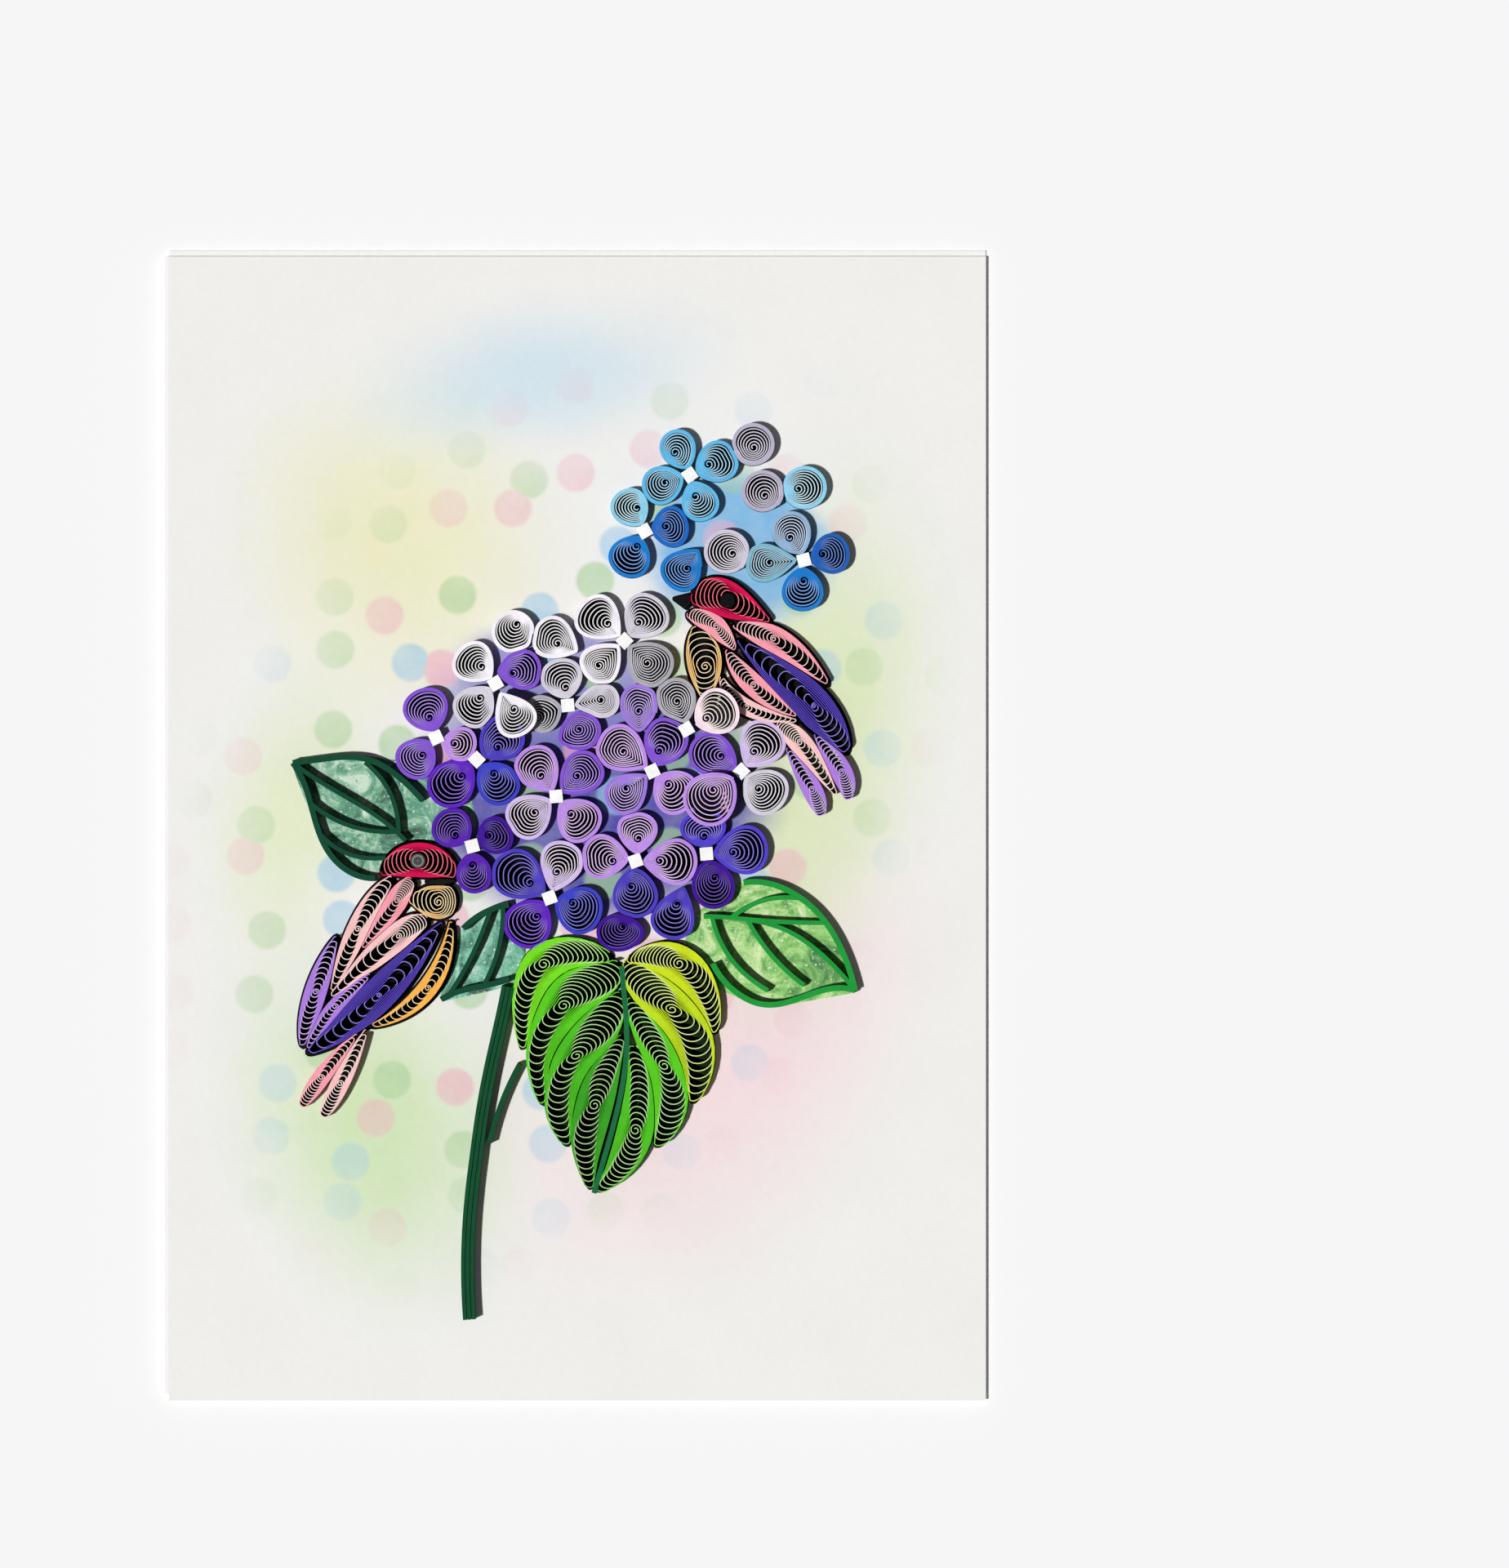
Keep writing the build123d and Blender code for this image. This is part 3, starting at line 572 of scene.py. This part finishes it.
# pressed coils: feathers, tails and the loops of the large leaf, from the top down
pressedPapers = {
    "upper_bird_head": ["crimson"], "upper_bird_neck": ["pink"], "upper_bird_breast": ["peach"],
    "upper_bird_body": ["pink"], "upper_bird_belly": ["palePink"], "upper_bird_wing_top": ["pink"],
    "upper_bird_wing": ["wingPurple"], "upper_bird_tail": ["palePink", "birdLilac", "birdLilac"],
    "lower_bird_head": ["crimson"], "lower_bird_throat": ["peach"],
    "lower_bird_pink_feather_outer": ["palePink"], "lower_bird_pink_feather_middle": ["pink"],
    "lower_bird_pink_feather_inner": ["palePink"],
    "lower_bird_violet_feather": ["birdLilac"], "lower_bird_lilac_feather": ["birdLilac"],
    "lower_bird_indigo_feather": ["wingPurple"], "lower_bird_orange_feather": ["orange"],
    "lower_bird_tail": ["pink", "palePink"],
    "leaf_loop_left_1": ["lime"], "leaf_loop_left_2": ["leafGreen"], "leaf_loop_left_3": ["brightGreen"],
    "leaf_loop_left_4": ["green"], "leaf_loop_right_1": ["yellowLime"], "leaf_loop_right_2": ["yellow"],
    "leaf_loop_right_3": ["leafGreen"], "leaf_loop_right_4": ["brightGreen"]}
headLook = {"core": 1.25 * mm, "band": 0.4, "turns": 7, "hook": 0.02, "hookEnd": 1.0}
breastLook = {"band": 0.42, "turns": 6, "core": 0.6 * mm}
wingLook = {"band": 0.76, "turns": 9, "core": 0.35 * mm}
leafLook = {"turns": 13, "band": 0.5, "core": 0.85 * mm, "roundness": 0.95, "lean": 0.45, "strip": 0.15 * mm,
            "awayFrom": sum(np.array(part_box("leaf_midrib"))[:, :2]) / 2}
pressedGrow = {"feather": 0.3 * mm, "leaf": 0.5 * mm}
# where the eyes of some were seen, from the centre of the front leaf, in mm
pressedEyes = {
    "upper_bird_breast": (19.6, 25.2), "leaf_loop_left_1": (-5.2, -20.9), "leaf_loop_left_2": (-2.5, -27.2),
    "leaf_loop_left_3": (-0.7, -34.6), "leaf_loop_right_1": (16.0, -20.6),
    "leaf_loop_right_2": (15.2, -27.3), "leaf_loop_right_3": (13.3, -36.9)}
pressedOf = {node: sorted(outlinesOf(node), key=lambda coil: -coil["middle"][1]) for node in pressedPapers}
loops = [coil for node, coils in pressedOf.items() if node.startswith("leaf") for coil in coils]
feathers = [coil for node, coils in pressedOf.items() if not node.startswith("leaf") for coil in coils]
grow(loops, pressedGrow["leaf"], outlinesOf("leaf_midrib"))
grow(feathers, pressedGrow["feather"], outlinesOf("upper_bird_beak") + outlinesOf("lower_bird_beak"))
for node, paperNames in pressedPapers.items():
    strips = StripMesh()
    look = dict(packedLook)
    if node.endswith("head"):
        look.update(headLook)
    if node.endswith(("breast", "throat")):
        look.update(breastLook)
    if node.endswith(("wing", "indigo_feather")):
        look.update(wingLook)
    if node.startswith("leaf"):
        look.update(leafLook)
    seen = pressedEyes.get(node)
    if seen:
        seen = np.array(seen) * mm + frontMiddle
    for coil, paper in zip(pressedOf[node], paperNames):
        if node.endswith("head"):
            seen = sum(np.array(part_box(node[:-4] + "eye"))[:, :2]) / 2
        strips.lay(packedCoil(coil["outline"], look, seen), coil["foot"], coil["top"], look["strip"], paper,
                   coilLook["heightPlay"] / 2, len(node))
    standFor(strips.piece(node + "_strips"), node)
print("pressed coils")

# flat paint on the card, under the strips, partly painted shade
paintLook = {
    "height": 0.03 * mm, "step": 0.001 * mm, "birdRim": 0.4 * mm, "leafRim": 0.1 * mm, "petalRim": -0.45 * mm}


def offset(outline, distance):
    rim = resampled(outline, outlineLook["points"])
    aside, way = outwardOf(rim)
    rim = rim + aside * distance
    return rim if way > 0 else rim[::-1]


def hullOf(points):
    points = sorted(map(tuple, points))
    hull = []
    for line in (points, points[::-1]):
        start = len(hull)
        for x, y in line:
            while len(hull) > start + 1 and ((hull[-1][0] - hull[-2][0]) * (y - hull[-2][1])
                                             <= (hull[-1][1] - hull[-2][1]) * (x - hull[-2][0])):
                hull.pop()
            hull.append((x, y))
        hull.pop()
    return np.array(hull)


def paint(name, outlines, material):
    spots, faces = [], []
    for order, outline in enumerate(outlines):
        first, count = len(spots), len(outline)
        high = cardTop + paintLook["height"] + order * paintLook["step"]
        spots += [(x, y, high) for x, y in outline] + [(x, y, cardTop) for x, y in outline]
        faces += [tuple(range(first, first + count)),
                  tuple(range(first + 2 * count - 1, first + count - 1, -1))]
        faces += [(first + k, first + count + k, first + count + (k + 1) % count, first + (k + 1) % count)
                  for k in range(count)]
    mesh = bpy.data.meshes.new(name)
    mesh.from_pydata(spots, [], faces)
    mesh.materials.append(material)
    made = placed(name, mesh)
    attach(made, "root")


# black backing paper under each bird, drawn wider all round the feathers as painted shadow and shade between
# them
for bird in ("upper_bird", "lower_bird"):
    shapes = []
    for node in pressedPapers:
        if node.startswith(bird) and not node.endswith("tail"):
            shapes += [offset(coil["outline"], paintLook["birdRim"]) for coil in pressedOf[node]]
    shapes += [offset(coil["outline"], paintLook["birdRim"]) for coil in outlinesOf(bird + "_beak")]
    paint(bird + "_backing", shapes, papers["black"])
# painted shade: a dark sheet under the leaf loops stands for the shade in the gaps between their turns
paint("leaf_backing", [offset(coil["outline"], paintLook["leafRim"]) for coil in loops], papers["leafShade"])
# painted shade: a dark sheet inside each petal on the card stands for the shade in its gaps and eye
paint("petal_backing", [offset(coil["outline"], paintLook["petalRim"]) for coils in coilsOf.values()
                        for coil in coils if coil["foot"] == cardTop], papers["petalShade"])

# marbled paint inside the outline leaves: dark, middle and light tone; white flecks of glitter drawn as painted
# glints
leafPaints = {
    "outline_leaf_left": ("#1F4A38", "#5FA884", "#CFE6CE"),
    "outline_leaf_behind_bird": ("#245A48", "#6FBF9E", "#C6E8D6"),
    "outline_leaf_right": ("#2F7A3A", "#8FCF6A", "#DDF0B4")}
marbleLook = {
    "scale": 190.0, "detail": 6.0, "grit": 0.65, "distortion": 1.2, "stops": (0.36, 0.5, 0.64),
    "sparkle": 2100.0, "glitterGlint": (0.92, 0.95, 0.9), "glitterGlintRange": (0.66, 0.72), "glitterGlintShare": 0.9,
    "pitShade": 0.6, "pitRange": (0.28, 0.36), "pitShare": 0.6,
    "roughness": 0.6, "bump": 0.4, "bumpDepth": 0.1 * mm}


def leafMaterial(node, tones):
    look = marbleLook
    tones = [fromHex(tone) for tone in tones]
    material, flow, shader = newMaterial(node + "_paint")
    place = flow.node("TexCoord", output=3)
    cloud = flow.node("TexNoise", {
        "Vector": place, "Scale": look["scale"], "Detail": look["detail"], "Roughness": look["grit"],
        "Distortion": look["distortion"]})
    dots = flow.node("TexNoise", {"Vector": place, "Scale": look["sparkle"], "Detail": 1.0})
    colour = flow.node("ValToRGB", {0: cloud}, stops=list(zip(look["stops"], tones)))
    # painted glint: white flecks stand for glitter catching the light
    colour = colour.mixed(look["glitterGlint"], dots.smooth(*look["glitterGlintRange"]) * look["glitterGlintShare"])
    pits = (1 - dots.smooth(*look["pitRange"])) * look["pitShare"]
    colour = colour.mixed(shade(tones[0], look["pitShade"]), pits)
    plug(colour, shader, "Base Color")
    bump = flow.node("Bump", {"Strength": look["bump"], "Distance": look["bumpDepth"], "Height": cloud + dots})
    plug(bump, shader, "Normal")
    shader.inputs["Roughness"].default_value = look["roughness"]
    return material


# corners of the paint under the flowers and the large leaf, from the centre of the front leaf, in mm
hiddenCorners = {
    "outline_leaf_left": [(-17, 9), (-16, 2)], "outline_leaf_behind_bird": [(-8, -14.5), (-8, -24)],
    "outline_leaf_right": [(16.5, -14.5), (17.5, -23)]}
for node, tones in leafPaints.items():
    outlines = [found["outline"] for found in outlinesOf(node)]
    corners = np.array(hiddenCorners[node]) * mm + frontMiddle
    paint(node + "_paint", [hullOf(np.vstack([*outlines, corners]))], leafMaterial(node, tones))
print("paint")

# CAD pieces that keep their shape
keptPapers = {
    "upper_bird_eye": "black", "lower_bird_eye": "black", "upper_bird_beak": "black",
    "lower_bird_beak": "beakGreen", "leaf_midrib": "midribGreen", "outline_leaf_left": "edgeGreen",
    "outline_leaf_behind_bird": "edgeGreen", "outline_leaf_right": "leafEdge", "stem": "stemGreen",
    "stem_branch": "stemGreen", "flower_centres": "white"}
eyeRing = {
    "radius": 0.8, "half": 0.13, "halfFade": 0.6, "core": 0.16, "coreFade": 0.7, "coreShare": 0.5,
    "grey": (0.20, 0.21, 0.20), "roughness": 0.55}


def eyeMaterial(node):
    # a black roll with one pale turn and a pale end in its middle
    material, flow, shader = newMaterial(node + "_roll")
    place = flow.node("TexCoord", output=3)
    middle = sum(np.array(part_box(node))) / 2
    x, y = ((flow.node("SeparateXYZ", {0: place}, output=axis) - float(middle[axis])) / mm for axis in (0, 1))
    far = (x * x + y * y).maths("SQRT")
    half, core = eyeRing["half"], eyeRing["core"]
    ring = 1 - (far - eyeRing["radius"]).maths("ABSOLUTE").smooth(half * eyeRing["halfFade"], half)
    spot = 1 - far.smooth(core * eyeRing["coreFade"], core)
    black = flow.colour(fromHex(paperColours["black"]))
    share = (ring + spot * eyeRing["coreShare"]).clamp()
    plug(black.mixed(eyeRing["grey"], share), shader, "Base Color")
    shader.inputs["Roughness"].default_value = eyeRing["roughness"]
    return material


for node, paper in keptPapers.items():
    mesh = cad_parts[node].data
    mesh.materials.clear()
    mesh.materials.append(eyeMaterial(node) if node == "lower_bird_eye" else papers[paper])


# card

cardLook = {
    "paper": "#F5F4F1", "roughness": 0.85, "specular": 0.25, "bump": 0.35, "bumpDepth": 0.12 * mm,
    "grain": 900.0, "grainShare": 0.05, "mottle": 60.0, "mottleShare": 0.06, "leastTone": 0.945,
    "warp": 110.0, "warpReach": 5.0, "drift": 38.0, "driftReach": 9.0, "pool": 260.0,
    "washPool": (0.4, 0.75), "washEnd": 1.05, "printFrom": (0.3 * mm, 0.1 * mm),
    "dots": 95.0, "dotScatter": 0.7, "dotRim": (0.24, 0.32), "dotStrength": 0.75, "dotPool": (0.6, 0.5),
    "dotField": ((-4, 2), (60, 86), -28), "dotFade": (0.45, 1.0),
    "dotTints": ("#F2B3C6", "#A9D397", "#9CCDEB"), "dotKinds": ((0.33, 0.34), (0.66, 0.67))}

# plain washes of colour: centre, radii, turn, colour, strength, and how far in the rim fades
washes = [
    ((20, -34), (34, 52), -38, "#F9DCE2", 0.9, 0.9), ((36, 14), (24, 50), -12, "#DDEBB6", 0.9, 0.9),
    ((-28, 44), (30, 34), 30, "#F1EFC6", 0.95, 0.9), ((-6, 70), (34, 14), 8, "#CFE6F2", 0.8, 0.9),
    ((-32, -46), (26, 36), 24, "#D3E9B8", 0.95, 0.9), ((-44, 2), (16, 30), -10, "#E6F0C4", 0.8, 0.9),
    ((2, 5), (31, 20), 0, "#4A46A8", 0.95, 0.3), ((-4, 22), (20, 12), 0, "#8F8CCB", 0.9, 0.4),
    ((25, 43), (16, 14), -15, "#7FBCE6", 0.95, 0.35)]


def cardMaterial():
    look = cardLook
    material, flow, shader = newMaterial("printedCard")
    place = flow.node("TexCoord", output=3)
    parts = [flow.node("SeparateXYZ", {0: place}, output=axis) for axis in range(3)]

    def noise(scale, detail, roughness=None):
        return flow.node("TexNoise", {"Vector": place, "Scale": scale, "Detail": detail, "Roughness": roughness})

    warp = noise(look["warp"], 3.0, 0.6)
    drift = noise(look["drift"], 2.0)
    pool = noise(look["pool"], 4.0, 0.65)
    x = (parts[0] - frontMiddle[0]) / mm + (warp - 0.5) * look["warpReach"]
    y = (parts[1] - frontMiddle[1]) / mm + (drift - 0.5) * look["driftReach"]
    top = parts[2].smooth(*(cardTop - depth for depth in look["printFrom"]))

    def farOf(centre, radii, angle):
        # 0 in the middle of an oval, 1 at its rim
        across, up = x - centre[0], y - centre[1]
        c, s = math.cos(math.radians(angle)), math.sin(math.radians(angle))
        u, v = across * (c / radii[0]) + up * (s / radii[0]), up * (c / radii[1]) - across * (s / radii[1])
        return (u * u + v * v).maths("SQRT")

    colour = flow.colour(fromHex(look["paper"]))
    for centre, radii, angle, tint, strength, softness in washes:
        inside = 1 - farOf(centre, radii, angle).smooth(1 - softness, look["washEnd"])
        share = inside * (pool * look["washPool"][0] + look["washPool"][1]) * top * strength
        colour = colour.mixed(fromHex(tint), share.clamp())
    field = 1 - farOf(*look["dotField"]).smooth(*look["dotFade"])
    spread = {"Vector": place, "Scale": look["dots"], "Randomness": look["dotScatter"]}
    rim = flow.node("TexVoronoi", spread, voronoi_dimensions="2D")
    kind = flow.node("TexVoronoi", spread, output=1, voronoi_dimensions="2D")
    kind = flow.node("SeparateXYZ", {0: kind}, output=0)
    first, second, third = (fromHex(tint) for tint in look["dotTints"])
    kinds = [kind.smooth(*edges) for edges in look["dotKinds"]]
    tint = flow.colour(first).mixed(second, kinds[0]).mixed(third, kinds[1])
    inside = (1 - rim.smooth(*look["dotRim"])) * field
    share = inside * (pool * look["dotPool"][0] + look["dotPool"][1]) * top * look["dotStrength"]
    colour = colour.mixed(tint, share.clamp())
    mottle = noise(look["mottle"], 3.0)
    grain = noise(look["grain"], 3.0, 0.6)
    tone = mottle * look["mottleShare"] + grain * look["grainShare"] + look["leastTone"]
    colour = colour.mixed(flow.grey(tone), 1.0, "MULTIPLY")
    plug(colour, shader, "Base Color")
    bump = flow.node("Bump", {"Strength": look["bump"], "Distance": look["bumpDepth"], "Height": grain})
    plug(bump, shader, "Normal")
    shader.inputs["Roughness"].default_value = look["roughness"]
    shader.inputs["Specular IOR Level"].default_value = look["specular"]
    return material


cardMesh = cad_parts["card"].data
cardMesh.materials.clear()
cardMesh.materials.append(cardMaterial())
print("card")


# floor, light and camera

stageLook = {
    "floor": "#FCFCFC", "size": 3.0, "roughness": 0.9, "key": 2.85, "keyAngle": 3.0, "keyTurn": (8, -19, 0),
    "fill": 0.1, "camera": 1.1, "sensor": 36, "nearest": 0.01}
# the picture in pixels: its size, the centre of the front leaf, and the pixels a millimetre
picture = {"size": (1848, 1920), "leaf": (707, 1014.5), "scale": 7.88}

bpy.ops.object.select_all(action="DESELECT")
bpy.ops.mesh.primitive_plane_add(size=stageLook["size"], location=(0, 0, 0))
floor = bpy.context.object
floor.name = "floor"
floorMaterial, _, floorShader = newMaterial("floorPaint")
floorShader.inputs["Base Color"].default_value = (*fromHex(stageLook["floor"]), 1)
floorShader.inputs["Roughness"].default_value = stageLook["roughness"]
floor.data.materials.append(floorMaterial)

world = bpy.data.worlds.new("studio")
bpy.context.scene.world = world
world.use_nodes = True
background = world.node_tree.nodes["Background"]
background.inputs["Color"].default_value = (1, 1, 1, 1)
background.inputs["Strength"].default_value = stageLook["fill"]

sun = bpy.data.lights.new("key", "SUN")
sun.energy = stageLook["key"]
sun.angle = math.radians(stageLook["keyAngle"])
placed("key", sun).rotation_euler = [math.radians(turn) for turn in stageLook["keyTurn"]]

pixel = 1 / picture["scale"] * mm
wide, high = picture["size"]
aim = (frontMiddle[0] + (wide / 2 - picture["leaf"][0]) * pixel,
       frontMiddle[1] + (picture["leaf"][1] - high / 2) * pixel)
camera = bpy.data.cameras.new("camera")
cameraObject = placed("camera", camera)
cameraObject.location = (aim[0], aim[1], cardTop + stageLook["camera"])
camera.sensor_fit = "VERTICAL"
camera.sensor_height = stageLook["sensor"]
camera.lens = stageLook["sensor"] * stageLook["camera"] / (high * pixel)
camera.clip_start = stageLook["nearest"]
bpy.context.scene.camera = cameraObject
bpy.context.scene.view_settings.view_transform = "Standard"
